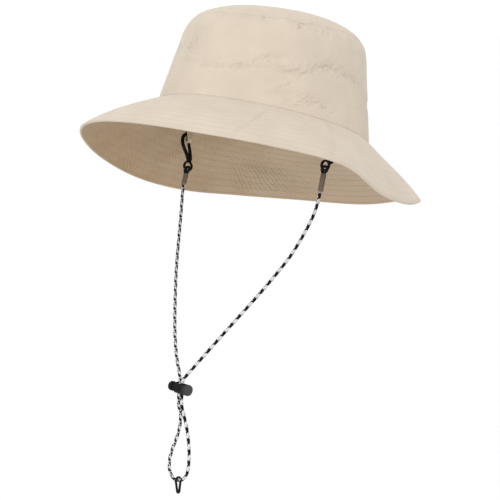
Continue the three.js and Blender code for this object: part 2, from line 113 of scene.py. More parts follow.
# Slope of the brim below level, in degrees, at equal steps round the oval from the wearer's left
# over the back, the wearer's right and the front
BRIM_SLOPES = np.array([47, 46, 35, 25, 29, 32, 39, 48, 50, 43, 34, 31, 32, 34, 34, 35], float)

# Soft folds in the crown's wall: middle (degrees round, share of the height), run above level in
# degrees, then length, width and depth in mm; a positive depth stands proud
CROWN_FOLDS = np.array([
    [283, 0.37, 2, 44, 7, -1.1],
    [311, 0.56, 14, 30, 8, -1.5],
    [325, 0.43, 12, 26, 7, -1.6],
    [342, 0.58, 22, 28, 9, -1.8],
    [340, 0.70, 8, 40, 14, 1.2],
    [4, 0.57, -14, 44, 8, -1.7],
    [319, 0.15, 18, 26, 8, -1.3],
    [341, 0.16, -8, 36, 8, -1.7],
    [336, 0.29, 2, 34, 12, 1.1],
    [46, 0.42, 10, 46, 9, -1.4],
    [70, 0.66, -16, 36, 10, -1.3],
    [98, 0.30, 6, 50, 9, -1.5],
    [128, 0.58, -10, 40, 10, -1.4],
    [155, 0.36, 12, 38, 8, -1.3],
    [186, 0.55, -6, 48, 9, -1.5],
    [214, 0.30, 10, 36, 9, -1.2],
    [240, 0.62, -12, 34, 10, -1.2],
    [258, 0.42, 4, 34, 8, -1.0],
])

# Part of each fold left soft where its creases take the rest, and how blunt their ridges are
FOLD_SHARE = 0.55
CREASE_BLUNTNESS = 0.05

# Sharp creases over the folds, in the same columns
CROWN_CREASES = np.array([
    [297, 0.37, 50, 12, 2.2, -0.5],
    [302, 0.46, 60, 10, 2.0, -0.6],
    [307, 0.545, 25, 12, 2.0, -0.7],
    [315, 0.59, 8, 14, 2.2, -0.6],
    [311, 0.53, -28, 10, 1.8, -0.8],
    [318, 0.465, -28, 14, 2.0, -1.0],
    [326, 0.42, -8, 11, 1.8, -0.9],
    [331, 0.46, 45, 9, 1.8, -0.9],
    [336.5, 0.535, 35, 12, 2.0, -1.0],
    [344.5, 0.60, 25, 12, 1.8, -1.0],
    [349.5, 0.628, 60, 7, 1.6, -1.0],
    [352, 0.61, -30, 9, 1.8, -1.0],
    [0, 0.573, -12, 16, 2.0, -1.0],
    [12, 0.555, -3, 16, 2.2, -0.8],
    [318, 0.215, 52, 14, 2.2, -0.6],
    [323.5, 0.30, 52, 10, 2.0, -0.6],
    [331, 0.13, 20, 10, 2.0, -0.6],
    [339, 0.15, -8, 16, 2.2, -1.0],
    [346, 0.12, -25, 10, 2.0, -0.8],
    [255, 0.64, 50, 9, 2.0, -0.6],
    [260, 0.70, 40, 10, 2.0, -0.6],
    [268, 0.60, 62, 10, 2.0, -0.5],
    [256, 0.46, 70, 12, 2.0, -0.5],
    [264, 0.50, 45, 9, 1.8, -0.5],
    [280, 0.36, 4, 20, 2.2, -0.5],
    [273, 1.01, 100, 7, 2.2, -0.7],
    [290, 1.02, 70, 7, 2.2, -0.6],
    [303, 1.02, 84, 9, 2.6, -1.3],
    [327, 1.00, 60, 10, 2.6, -1.4],
    [330, 1.03, 110, 9, 2.4, -1.1],
    [339, 1.01, 80, 8, 2.2, -0.8],
    [347, 0.99, 95, 11, 2.4, -1.0],
    [46, 0.43, 12, 18, 2.2, -0.7],
    [60, 0.62, -30, 14, 2.0, -0.7],
    [72, 0.65, -8, 16, 2.0, -0.7],
    [95, 0.32, 18, 16, 2.2, -0.7],
    [104, 0.28, -20, 14, 2.0, -0.7],
    [128, 0.57, -24, 18, 2.0, -0.7],
    [154, 0.37, 24, 16, 2.2, -0.7],
    [184, 0.54, -14, 18, 2.0, -0.7],
    [192, 0.50, 30, 12, 2.0, -0.7],
    [214, 0.31, 22, 14, 2.0, -0.6],
    [240, 0.61, -24, 14, 2.0, -0.6],
])

# Places where the cloth is crumpled finely, in the same columns, the last one how strongly
CRUMPLED_PLACES = np.array([
    [318, 0.50, 4, 78, 13, 0.9],
    [300, 0.47, 34, 30, 12, 0.7],
    [348, 0.61, 10, 26, 11, 1.3],
    [2, 0.57, -14, 40, 9, 1.1],
    [16, 0.54, -10, 30, 9, 0.8],
    [334, 0.50, 38, 26, 9, 1.0],
    [286, 0.385, 2, 44, 11, 0.8],
    [270, 0.42, 4, 30, 10, 0.7],
    [264, 0.76, 45, 34, 17, 0.9],
    [255, 0.60, 60, 32, 15, 0.9],
    [262, 0.40, 40, 30, 12, 0.5],
    [320, 0.26, 50, 26, 9, 0.9],
    [331, 0.14, 18, 32, 9, 1.1],
    [342, 0.15, -16, 34, 9, 1.1],
    [6, 0.30, -30, 60, 20, 0.5],
    [60, 0.55, -20, 60, 16, 0.7],
    [98, 0.30, 5, 50, 16, 0.7],
    [130, 0.60, -15, 50, 15, 0.7],
    [155, 0.36, 20, 40, 15, 0.7],
    [186, 0.55, -5, 60, 16, 0.7],
    [214, 0.32, 15, 40, 15, 0.6],
    [240, 0.62, -15, 40, 15, 0.6],
    [273, 1.01, 0, 8, 9, 1.0],
    [290, 1.02, 0, 9, 8, 0.9],
    [303, 1.02, 0, 10, 11, 1.5],
    [328, 1.01, 10, 16, 13, 1.5],
    [343, 1.00, 0, 20, 10, 1.0],
])

# The same along the tip's seam and the wall's foot: how strongly and how far, and the two sines by
# which it comes and goes, as number round and phase
SEAM_CRUMPLE = 0.35
SEAM_CRUMPLE_REACH = 5 * MM
FOOT_CRUMPLE = 0.3
FOOT_CRUMPLE_REACH = 4 * MM
FOOT_CRUMPLE_MOST = 1.3
CRUMPLE_BEATS = ((17, 0.4), (11, 0))

# Where relief fades out, as the share at which it is gone and the one at which it is full
FADE_AT_FOOT = (0, 0.08)
FADE_PAST_SHOULDER = (1.2, 1.1)
FADE_AT_TIP_EDGE = (0.97, 0.87)
FADE_AT_BRIM_SEAM = (0, 0.06)
FADE_AT_RIM = (1, 0.96)

# Smaller creases strewn round each sharp one: how many, how far off across and up in mm, turn in
# degrees, and the range of length, width and depth, as shares of the sharp one's
CRUMPLE_COUNT = 6
CRUMPLE_SPREAD = (9, 3.5)
CRUMPLE_TURN = 38
CRUMPLE_SHARES = ((0.3, 0.75), (0.8, 1.6), (-0.55, 0.8))

# Fine creases anywhere: turn in degrees, length and width in mm, depth as a share of the deepest
CRINKLE_TURN = 32
CRINKLE_LENGTHS = (7, 24)
CRINKLE_WIDTHS = (1.6, 4.5)
CRINKLE_DEPTHS = (-1, 0.6)

# Fine creases of the tip: how far from its middle they reach and how much more they turn
TIP_CRINKLE_SPREAD = 70 * MM
TIP_CRINKLE_TURN = 3

# Waves where the tip is gathered to the wall: number round the oval, depth in mm, phase
GATHER_WAVES = ((23, 0.55, 0.0), (15, 0.42, 1.0), (61, 0.08, 0.4))
GATHER_REACH = 9 * MM

# Upright creases at that seam: how many, how far below it as a share of the wall and how spread,
# turn in degrees, length, width and depth in mm
GATHER_PUCKERS = 90
GATHER_BELOW = 0.02
GATHER_SPREAD = 0.035
GATHER_TURN = 24
GATHER_LENGTHS = (5, 14)
GATHER_WIDTHS = (1.8, 4.0)
GATHER_DEPTHS = (-0.8, 0.25)

# Groove of that seam: its depth, how much deeper it is where the thread is pulled tight, and the
# sines whose sum says where that is, as number round the oval and phase
SEAM_GROOVE = 0.05 * MM
SEAM_PULLED_GROOVE = 0.4 * MM
SEAM_GROOVE_HALF = 1.2 * MM
SEAM_PULLS = ((43, 0.3), (71, 1.9), (29, 0.8))
SEAM_PULL_FULL = 1.6

# Rows of stitches on the brim, as shares of its width, and the grid's rows at each of them in mm
BRIM_STITCH_ROWS = 10
BRIM_FIRST_ROW = 0.06
BRIM_LAST_ROW = 0.955
BRIM_ROW_SPACING = (BRIM_LAST_ROW - BRIM_FIRST_ROW) / (BRIM_STITCH_ROWS - 1)
GRID_AT_STITCHES = np.array([-2.4, -1.2, -0.55, 0, 0.55, 1.2, 2.4])

# Depth of the grooves along those rows and of the puckers between them, on top (1) and below (-1)
STITCH_GROOVE = {1: 0.1 * MM, -1: 0.04 * MM}
STITCH_GROOVE_HALF = 1.0 * MM
BRIM_PUCKER = {1: 0.1 * MM, -1: 0.2 * MM}

# Waves of those puckers: number round, slant in radians over the brim's width, shift from one band
# to the next, and part of the depth; the two sines by which they come and go: number round, that
# shift, and phase; then where they are deepest and how much more
BRIM_PUCKER_WAVES = ((96, 0.605, 2.1, 1.0), (71, 0.88, 1.0, 0.6))
BRIM_PUCKER_BEATS = ((5, 1.7, 0), (3, 0.6, 1))
GATHERED_MIDDLE = math.radians(124)
GATHERED_REACH = 0.5
GATHERED_MORE = 1.4

# Long bends of the brim: degrees round the oval at the seam's end and at the rim's end, those
# ends as shares of the brim's width, then width and depth in mm
BRIM_FOLDS = (
    (313.0, 301.0, 0.14, 0.97, 2.8, -1.2),
    (318.0, 338.0, 0.07, 0.2, 3.2, -0.7),
    (347.5, 334.0, 0.0, 0.95, 7.0, -1.1),
    (342.0, 329.0, 0.0, 0.95, 9.0, 0.8),
    (262.0, 274.0, 0.2, 0.9, 5.0, -0.5),
    (208.0, 202.0, 0.1, 0.95, 8.0, -0.8),
    (72.0, 80.0, 0.1, 0.95, 8.0, -0.8),
)
BRIM_FOLD_RADIUS = 118 * MM
BRIM_FOLD_END = 0.03

# Stitches: how many in the first row, how many more in each next one, the thread's part of a
# stitch's pitch, and half its width as a share of the rows' spacing
FIRST_ROW_STITCHES = 226.0
MORE_STITCHES = 17.0
THREAD_COVER = 0.72
THREAD_HALF = 0.045

# Fine puckers of the brim's underside: number round, slant, and where they are strongest, as a
# share of the turn; how they fade to both sides of it, at the head and at the rim; how faint they
# are elsewhere and the range of noise by which they come and go there, how far they sway, and how
# high they are in the bump
PUCKER_COUNT = 205
PUCKER_SLANT = 0.0563
PUCKER_MIDDLE = 0.347
PUCKER_ROUND = (0.055, 0.02)
PUCKER_HEAD = (0.32, 0.5)
PUCKER_RIM = (0.92, 0.8)
PUCKER_FAINT = 0.45
PUCKER_PATCHY = (0.45, 0.7)
PUCKER_SWAY = 0.006
PUCKER_HEIGHT = 1.3

# Painted light on the brim's underside, lighter on one side of the hat: where it is strongest,
# as a share of the turn, the parts of the turn and of the noise in it, and the range of their sum
# from one colour to the other
UNDERSIDE_LIGHT_MIDDLE = 0.2
UNDERSIDE_LIGHT_SWING = 0.4
UNDERSIDE_LIGHT_NOISE = 0.9
UNDERSIDE_LIGHT_RANGE = (0.05, 0.85)

# Hardware of the two sides, in mm: where the fabric loop is sewn, the hook's eye and the lower end
# of its sleeve
SIDES = {
    "right": {
        "seam": (-82.4, -8.6, 0), "eye": (-76.2, -12.8, -39.6), "sleeve_end": (-75.4, -19.6, -55.4),
    },
    "left": {
        "seam": (81.6, 11.6, -5.4), "eye": (74.8, -12, -30.6), "sleeve_end": (74, -17.6, -52.2),
    },
}
HOOK_YAW = math.radians(15)

# Bight of cord through a hook's eye: the points of one leg, as way down from the eye's middle and
# aside in mm, and how far down its crown lies
BIGHT_LEG = np.array([(6.9, 1.45), (6.1, 1.5), (5.3, 2.35), (4.1, 3.25), (2.6, 3.25), (1.3, 2.1)])
BIGHT_CROWN = 0.9 * MM
BIGHT_DIAMETER = 2.4 * MM
BIGHT_RINGS = 120

# Cord: size and fineness, then the braid's pitch, strands each way, black part, height and how far
# it is sunk in, and its turn at the lowest point, over what share of the length
CORD_DIAMETER = 2.7 * MM
CORD_RINGS = 1400
CORD_ROUND = 32
BRAID_PITCH = 9.4 * MM
BRAID_STRANDS = 3
BRAID_BLACK = 0.55
BRAID_RELIEF = 0.13 * MM
BRAID_SUNK = 0.7
BRAID_TURN = 0.25
BRAID_TURN_REACH = 0.012
CURVE_SAMPLES = 40

# Route of the cord's middle, from the right sleeve through the lock, round the pull ring, back up
# through the lock and to the left sleeve
CORD_ROUTE = np.array([
    (-0.07536, -0.01975, -0.0557), (-0.0747, -0.0219, -0.063), (-0.0719, -0.0266, -0.0756),
    (-0.0626, -0.0412, -0.103), (-0.0556, -0.0514, -0.118), (-0.0476, -0.062, -0.133),
    (-0.0298, -0.0836, -0.163), (-0.0206, -0.0936, -0.178), (-0.0116, -0.1018, -0.1915),
    (-0.0046, -0.107, -0.2005),
    (-0.00191, -0.109, -0.20636),
    (-0.00347, -0.109, -0.22128),
    (-0.0042, -0.1083, -0.228), (-0.0026, -0.1078, -0.236), (-0.0032, -0.108, -0.246),
    (-0.0064, -0.1086, -0.257), (-0.0112, -0.109, -0.268), (-0.0142, -0.109, -0.278),
    (-0.0136, -0.109, -0.287), (-0.0094, -0.109, -0.2922), (-0.0045, -0.109, -0.2932),
    (0.001, -0.109, -0.291), (0.0056, -0.109, -0.2846), (0.0075, -0.109, -0.274),
    (0.0074, -0.109, -0.261), (0.0058, -0.1094, -0.248), (0.0032, -0.1102, -0.236),
    (0.0006, -0.1099, -0.228),
    (-0.00009, -0.109, -0.22164),
    (0.00147, -0.109, -0.20672),
    (0.0052, -0.1074, -0.2015), (0.0112, -0.1024, -0.1925), (0.0202, -0.094, -0.1786),
    (0.0298, -0.0836, -0.163), (0.0476, -0.062, -0.133), (0.0556, -0.0514, -0.118),
    (0.0626, -0.0412, -0.103), (0.0714, -0.026, -0.075), (0.0734, -0.0209, -0.0626),
    (0.07398, -0.0177, -0.0525),
])

# Colours
UPPER_CLOTH = (0.49, 0.42, 0.338)
# Crown's inside and brim's underside: darker copies of the upper nylon, painted shade
SHADED_INNER_CLOTH = (0.36, 0.272, 0.182)
SHADED_UNDER_BRIM_CLOTH = (0.335, 0.23, 0.129)
# The brim's underside turns to this lighter colour on one side of the hat: painted light
LIT_UNDER_BRIM_CLOTH = (0.44, 0.335, 0.236)
TAPE_CLOTH = (0.52, 0.42, 0.28)
BLACK_PLASTIC = (0.003, 0.003, 0.003)
# Painted highlight on the lock's closed end: its grey, and how far along X it comes in
LOCK_END_HIGHLIGHT = (0.045, 0.045, 0.047)
LOCK_END_HIGHLIGHT_REACH = 9 * MM
SLEEVE_DARK = (0.105, 0.078, 0.052)
SLEEVE_LIGHT = (0.19, 0.145, 0.1)

# Nylon: roughness, sheen and specular level, the bump's distance and strength, its two shades and
# the thread's, on top and below, as shares of its colour
NYLON_ROUGHNESS = 0.78
NYLON_SHEEN = 0.12
NYLON_SPECULAR = 0.3
NYLON_BUMP = (0.5 * MM, 0.55)
NYLON_SHADES = (0.955, 1.035)
THREAD_ON_TOP = 0.885
THREAD_BELOW = 0.955

# Noises of the cloth's colour and bump: scale per metre, detail, roughness and warp
MOTTLING = (38, 3)
# The next noise breaks up the painted light on the brim's underside
UNDERSIDE_LIGHT_MOTTLING = (45, 3)
PUCKER_SWAYS = (60, 2)
PUCKER_PATCHES = (28, 2)
WEAVE = (2200, 1)
CRINKLES = (95, 3, 0.55)
BROAD_CRINKLES = (32, 2)
WIDE_CRUMPLES = (88, 2, 0.5, 0.6)
NARROW_CRUMPLES = (190, 1, 0.5, 0.4)

# Heights of these in the bump, and of the thread
CRINKLE_HEIGHT = 0.55
WEAVE_HEIGHT = 0.12
NARROW_HEIGHT = 0.35
CRUMPLE_HEIGHT = 16.0
THREAD_HEIGHT = 0.35

# Voxels of the hard pieces' smooth skins
SLEEVE_VOXEL = 0.2 * MM
HOOK_VOXEL = 0.15 * MM
LOCK_VOXEL = 0.16 * MM
RING_VOXEL = 0.12 * MM
TAPE_VOXEL = 0.25 * MM
WELD_WITHIN = 0.002 * MM
SMOOTH_ROUNDS = 6

# Studio
FLOOR_HALF = 90.0
FLOOR_BELOW = 1.5
SKY_STRENGTH = 1.25
KEY_PLACE = (1.1, -2.2, 0.9)
KEY_SIZE = 1.0
KEY_POWER = 26

random = np.random.default_rng(11)


def add_object(name, data):
    """New object in the scene."""
    made = bpy.data.objects.new(name, data)
    bpy.context.scene.collection.objects.link(made)
    return made


def make_camera():
    """Camera on a line from the origin, turned a little aside to place the hat in the frame."""
    data = bpy.data.cameras.new("camera")
    data.lens = CAMERA_LENS
    data.sensor_width = CAMERA_SENSOR
    camera = add_object("camera", data)
    camera.location = CAMERA_DISTANCE * CAMERA_WAY
    rise = math.pi / 2 - CAMERA_ELEVATION - CAMERA_TILT
    camera.rotation_euler = (rise, 0, CAMERA_AZIMUTH + CAMERA_PAN)
    bpy.context.scene.camera = camera


def grid_piece(name, rings, uv, poles=None, closed=True, split=None, crumple=None):
    """Mesh of four-cornered faces from rings[i, j], i once round and j along the profile. A closed
    profile meets itself, an open one ends in the two poles, or in flat fans where poles is None.
    uv[i, j] has one row more than rings, so that the pattern doesn't jump where the round closes.
    split gives each row of faces its material, crumple[i, j] says how crumpled the cloth is."""
    steps, count = rings.shape[:2]
    i, j = np.meshgrid(np.arange(steps), np.arange(count if closed else count - 1), indexing="ij")
    here, after, beyond = i * count, (i + 1) % steps * count, (j + 1) % count
    quads = np.stack([here + j, after + j, after + beyond, here + beyond], -1)
    corners = np.stack([uv[i, j], uv[i + 1, j], uv[i + 1, j + 1], uv[i, j + 1]], -2)
    points = rings.reshape(-1, 3)
    faces = quads.reshape(-1, 4).tolist()
    face_uv = corners.reshape(-1, 2)
    rows = j.reshape(-1)
    if not closed:
        if poles is None:
            poles = [rings[:, 0].mean(0), rings[:, -1].mean(0)]
        i, last, pole = np.arange(steps), count - 1, np.full(steps, len(points))
        here, after = i * count, (i + 1) % steps * count
        low = np.stack([after, here, pole], -1)
        high = np.stack([here + last, after + last, pole + 1], -1)
        low_uv = np.stack([uv[i + 1, 0], uv[i, 0], uv[i, 0]], 1)
        high_uv = np.stack([uv[i, last], uv[i + 1, last], uv[i, last]], 1)
        points = np.concatenate([points, poles])
        faces += low.tolist() + high.tolist()
        face_uv = np.concatenate([face_uv, low_uv.reshape(-1, 2), high_uv.reshape(-1, 2)])
        rows = np.concatenate([rows, np.zeros(steps, int), np.full(steps, count - 2)])
    mesh = bpy.data.meshes.new(name)
    mesh.from_pydata(points.tolist(), [], faces)
    layer = mesh.uv_layers.new(name="pattern")
    layer.data.foreach_set("uv", face_uv.astype(np.float32).ravel())
    mesh.shade_smooth()
    if crumple is not None:
        strength = np.zeros(len(points))
        strength[:crumple.size] = crumple.ravel()
        mesh.attributes.new("crumple", "FLOAT", "POINT").data.foreach_set("value", strength)
    if split is not None:
        mesh.polygons.foreach_set("material_index", np.asarray(split)[rows].astype(np.int32))
    mesh.update()
    return add_object(name, mesh)


def round_table(values, angle):
    """Catmull-Rom curve through equal steps of a full turn, closed on itself."""
    place = angle / TURN * len(values)
    first = np.floor(place).astype(int)
    f = place - first
    a, b, c, d = (values[(first + k) % len(values)] for k in (-1, 0, 1, 2))
    square, cube = 2 * a - 5 * b + 4 * c - d, 3 * b - a - 3 * c + d
    return 0.5 * (2 * b + (c - a) * f + square * f**2 + cube * f**3)


def turn_from(angle, middle):
    """Signed turn from middle to angle, the short way round."""
    return np.angle(np.exp(1j * (angle - middle)))


def bell(value):
    """exp(-value^2)"""
    return np.exp(-(value**2))


def ramp(value, gone, full):
    """Straight ramp from 0 where value is gone to 1 where it is full."""
    return np.clip((value - gone) / (full - gone), 0, 1)


def ridge(along, aside, length, width, power):
    """Smooth ridge exp(-(along)^power - (aside)^2), as long and wide as given in millimetres."""
    return np.exp(-((2 * along / (length * MM)) ** power) - (2 * aside / (width * MM)) ** 2)


def crown_form(angle, run):
    """Crown before its shoulder is rounded: an oval that narrows and leans as run goes from 0 to 1
    up the wall, then a straight way in to the middle from 1 to 2, raised by a flat dome."""
    climb = np.minimum(run, 1)
    inward = np.maximum(run - 1, 0)
    scale = 1 - (1 - CROWN_TOP_RATIO) * climb
    middle = (CROWN_FRONT_HEIGHT + CROWN_BACK_HEIGHT) / 2
    lean = (CROWN_BACK_HEIGHT - CROWN_FRONT_HEIGHT) / 2
    edge = np.stack([
        HEAD_HALF_WIDTH * scale * np.cos(angle),
        HEAD_HALF_LENGTH * scale * np.sin(angle) + CROWN_TOP_SHIFT * climb,
        climb * (middle + lean * np.sin(angle)),
    ], -1)
    centre = np.array([0, CROWN_TOP_SHIFT, middle])
    point = edge + (centre - edge) * inward[..., None]
    point[..., 2] += np.where(inward > 0, TIP_RISE * (1 - (1 - inward) ** TIP_ROUNDNESS), 0)
    return point


def crown_skin(angle, run):
    """Crown with a rounded shoulder: a parabola whose corner is the oval between wall and tip."""
    angle, run = np.broadcast_arrays(angle, run)
    along = (run - 1 + SHOULDER_BELOW) / (SHOULDER_BELOW + SHOULDER_ABOVE)
    inside = (along > 0) & (along < 1)
    t = np.clip(along, 0, 1)[..., None]
    low, corner, high = (
        crown_form(angle, np.full_like(run, value))
        for value in (1 - SHOULDER_BELOW, 1, 1 + SHOULDER_ABOVE)
    )
    rounded = low * (1 - t) ** 2 + corner * 2 * t * (1 - t) + high * t**2
    return np.where(inside[..., None], rounded, crown_form(angle, run))


def brim_width(angle):
    """Width of the brim: narrower by a bell round one place behind the wearer's left."""
    away = turn_from(angle, BRIM_NARROW_MIDDLE) / BRIM_NARROW_REACH
    return BRIM_WIDTH * (1 - BRIM_NARROW_SHARE * bell(away))


def brim_skin(angle, share):
    """Brim: from the oval straight outwards, falling by the slope of the table plus a curl that
    grows with the square of the way out; the fall is summed in equal steps."""
    angle, share = np.broadcast_arrays(angle, share)
    length = brim_width(angle) * share / BRIM_SUM_STEPS
    point = np.stack([
        HEAD_HALF_WIDTH * np.cos(angle), HEAD_HALF_LENGTH * np.sin(angle), np.zeros_like(angle)
    ], -1)
    out = np.stack([np.cos(angle) / HEAD_HALF_WIDTH, np.sin(angle) / HEAD_HALF_LENGTH], -1)
    out /= np.linalg.norm(out, axis=-1, keepdims=True)
    slope = np.radians(round_table(BRIM_SLOPES, angle))
    for step in range(BRIM_SUM_STEPS):
        at = (step + 0.5) / BRIM_SUM_STEPS * share
        fall = slope + BRIM_CURL * (at**2 - 1 / 3)
        point[..., :2] += out * (np.cos(fall) * length)[..., None]
        point[..., 2] -= np.sin(fall) * length
    return point


def normals(surface, angle, run, step=0.003):
    """Outward normal of a surface of two parameters, from its slopes along both."""
    around = surface(angle + step, run) - surface(angle - step, run)
    along = surface(angle, run + step) - surface(angle, run - step)
    normal = np.cross(around, along)
    return normal / np.linalg.norm(normal, axis=-1, keepdims=True)


def fold_frame(angle, height, at, level, run):
    """Way along and aside of a fold, in metres, on the wall rolled out flat."""
    across = turn_from(angle, math.radians(at)) * HEAD_HALF_WIDTH
    up = (height - level) * CROWN_BACK_HEIGHT
    cosine, sine = math.cos(math.radians(run)), math.sin(math.radians(run))
    return across * cosine + up * sine, up * cosine - across * sine


def soft_folds(angle, height, table, power=4, scale=MM):
    """Sum of smooth ridges and hollows: depth times exp(-(along)^power - (aside)^2)."""
    relief = 0
    for at, level, run, length, width, depth in table:
        along, aside = fold_frame(angle, height, at, level, run)
        relief += depth * scale * ridge(along, aside, length, width, power)
    return relief


def sharp_creases(angle, height, table):
    """Sum of creases: depth times exp(-(along)^4) times a roof-shaped falloff exp(-|aside|)."""
    relief = 0
    for at, level, run, length, width, depth in table:
        along, aside = fold_frame(angle, height, at, level, run)
        roof = np.sqrt((2 * aside / (width * MM)) ** 2 + CREASE_BLUNTNESS)
        relief += depth * MM * np.exp(-((2 * along / (length * MM)) ** 4) - roof)
    return relief


def crinkle_table(count, depth, low=0.03, high=1.0):
    """Random fine creases of the light cloth, in the folds' columns."""
    return np.stack([
        random.uniform(0, 360, count),
        random.uniform(low, high, count),
        random.normal(0, CRINKLE_TURN, count),
        random.uniform(*CRINKLE_LENGTHS, count),
        random.uniform(*CRINKLE_WIDTHS, count),
        random.uniform(*CRINKLE_DEPTHS, count) * depth,
    ], -1)


def crumple_table(parents):
    """Short creases strewn round each parent, some hollow and some proud, turned in all ways."""
    rows = np.repeat(parents, CRUMPLE_COUNT, axis=0)
    count = len(rows)
    across, up = CRUMPLE_SPREAD
    rows[:, 0] += np.degrees(random.normal(0, across, count) * MM / HEAD_HALF_WIDTH)
    rows[:, 1] += random.normal(0, up, count) * MM / CROWN_BACK_HEIGHT
    rows[:, 2] += random.normal(0, CRUMPLE_TURN, count)
    for column, (low, high) in enumerate(CRUMPLE_SHARES, 3):
        rows[:, column] *= random.uniform(low, high, count)
    return rows


def pucker_table(count):
    """Short upright creases on both sides of the tip's seam, in the folds' columns."""
    return np.stack([
        random.uniform(0, 360, count),
        random.normal(2 - TIP_SEAM_AT - GATHER_BELOW, GATHER_SPREAD, count),
        random.normal(90, GATHER_TURN, count),
        random.uniform(*GATHER_LENGTHS, count),
        random.uniform(*GATHER_WIDTHS, count),
        random.uniform(*GATHER_DEPTHS, count),
    ], -1)


CROWN_CRUMPLES = crumple_table(CROWN_CREASES)
CROWN_PUCKERS = pucker_table(GATHER_PUCKERS)
CROWN_CRINKLES = crinkle_table(count=300, depth=0.3)
TIP_CRINKLES = crinkle_table(count=90, depth=0.3, low=-0.5, high=0.5)
BRIM_CRINKLES = crinkle_table(count=240, depth=0.22)


def seam_distance(run):
    """Way from the tip's seam, towards the middle."""
    return (run - 2 + TIP_SEAM_AT) * HEAD_HALF_WIDTH * CROWN_TOP_RATIO


def crown_relief(angle, run):
    """Folds, creases and crinkles of the wall, which fade at its foot and beyond the shoulder, and
    the gathers on both sides of the tip's seam with its groove."""
    relief = FOLD_SHARE * soft_folds(angle, run, CROWN_FOLDS)
    for table in (CROWN_CREASES, CROWN_CRUMPLES, CROWN_CRINKLES, CROWN_PUCKERS):
        relief += sharp_creases(angle, run, table)
    relief *= ramp(run, *FADE_AT_FOOT) * ramp(run, *FADE_PAST_SHOULDER)
    seam = seam_distance(run)
    wave = sum(depth * MM * np.sin(count * angle + phase) for count, depth, phase in GATHER_WAVES)
    relief += wave * bell(seam / GATHER_REACH)
    pull = sum(np.sin(count * angle + phase) for count, phase in SEAM_PULLS) / SEAM_PULL_FULL
    groove = SEAM_GROOVE + SEAM_PULLED_GROOVE * np.clip(pull, 0, 1)
    return relief - groove * bell(seam / SEAM_GROOVE_HALF)


def crumple_strength(angle, run):
    """How finely the cloth is crumpled: a bell exp(-(along)^2 - (aside)^2) at each place of the
    table, and narrow bands along the tip's seam and the wall's foot that come and go."""
    strength = soft_folds(angle, run, CRUMPLED_PLACES, power=2, scale=1)
    one, other = (np.sin(count * angle + phase) for count, phase in CRUMPLE_BEATS)
    comes = 0.5 + 0.5 * one * other
    strength += SEAM_CRUMPLE * comes * bell(seam_distance(run) / SEAM_CRUMPLE_REACH)
    left = FOOT_CRUMPLE_MOST - comes
    return strength + FOOT_CRUMPLE * left * bell(run * CROWN_BACK_HEIGHT / FOOT_CRUMPLE_REACH)


def tip_relief(angle, run):
    """Fine creases of the tip, on its own flat way across, fading at its edge."""
    share = 2 - run
    x = share * np.cos(angle) * CROWN_TOP_RATIO * HEAD_HALF_WIDTH
    y = share * np.sin(angle) * CROWN_TOP_RATIO * HEAD_HALF_LENGTH
    relief = 0
    for at, level, run_angle, length, width, depth in TIP_CRINKLES:
        turn = math.radians(at)
        away = TIP_CRINKLE_SPREAD * math.sqrt(abs(level) * 2)
        dx, dy = x - away * math.cos(turn), y - away * math.sin(turn)
        lean = math.radians(run_angle * TIP_CRINKLE_TURN)
        along = dx * math.cos(lean) + dy * math.sin(lean)
        aside = dy * math.cos(lean) - dx * math.sin(lean)
        relief += depth * MM * ridge(along, aside, length, width, 2)
    return relief * ramp(share, *FADE_AT_TIP_EDGE)


def crown_point(angle, run, below):
    """Skin of the crown with its relief, a depth below the outer face."""
    relief = crown_relief(angle, run) + tip_relief(angle, run) * (run > 1)
    return crown_skin(angle, run) + normals(crown_skin, angle, run) * (relief - below)[..., None]


def seam_inside(angle):
    """Inner corner of the seam between crown and brim."""
    foot = brim_skin(angle, np.zeros_like(angle))
    across = np.linalg.norm(foot, axis=-1, keepdims=True)
    return foot * (across - CROWN_CLOTH) / across


def tip_hat(points):
    """Turns the hat's own frame back by its tilt, about X."""
    c, s = math.cos(-HAT_TILT), math.sin(-HAT_TILT)
    x, y, z = points[..., 0], points[..., 1], points[..., 2]
    return np.stack([x, c * y - s * z, s * y + c * z], -1)


def around(steps=ROUND_STEPS):
    """Equal steps of a full turn, as a column."""
    return np.arange(steps)[:, None] / steps * TURN


def pattern_uv(steps, along):
    """Pattern coordinates: the turn's share across and the given profile values up."""
    u, v = np.meshgrid(np.arange(steps + 1) / steps, along, indexing="ij")
    return np.stack([u, v], -1)


def crown_side():
    """The wall from the brim to the tip's seam: outer skin up and inner skin down, closed."""
    seam_run = 2 - TIP_SEAM_AT - SEAM_GAP / HEAD_HALF_WIDTH
    outer = np.linspace(0, seam_run, WALL_ROWS)
    inner = np.linspace(0, seam_run, WALL_INNER_ROWS)[1:]
    angle = around()
    outside = crown_point(angle, outer[None, :], 0)
    inside = crown_point(angle, inner[None, ::-1], CROWN_CLOTH)
    foot = seam_inside(angle)
    rings = tip_hat(np.concatenate([outside, inside, foot], 1))
    values = np.concatenate([outer, inner[::-1], [0, 0]])
    faces = np.concatenate([np.zeros(len(outer)), np.ones(len(inner) + 1)])
    crumple = crumple_strength(angle, values[None, :-1])
    uv = pattern_uv(ROUND_STEPS, values)
    return grid_piece("crown_side_panel", rings, uv, split=faces, crumple=crumple)


def crown_tip():
    """The domed oval on top: two skins that meet at its edge, each with a pole in its middle."""
    runs = 2 - TIP_SEAM_AT * (1 - (np.arange(TIP_ROWS) / TIP_ROWS) ** TIP_CROWDING)
    under = runs[::2]
    angle = around()
    inside = crown_point(angle, under[None, ::-1], CROWN_CLOTH)
    outside = crown_point(angle, runs[None, :], 0)
    top = crown_skin(np.zeros(1), np.full(1, 2.0))
    poles = tip_hat(np.concatenate([top - [0, 0, CROWN_CLOTH], top]))
    rings = tip_hat(np.concatenate([inside, outside], 1))
    faces = np.concatenate([np.ones(len(under)), np.zeros(len(runs))])
    values = np.concatenate([under[::-1], runs])
    crumple = crumple_strength(angle, values[None, :])
    uv = pattern_uv(ROUND_STEPS, values)
    return grid_piece("crown_tip_panel", rings, uv, poles, False, faces, crumple)


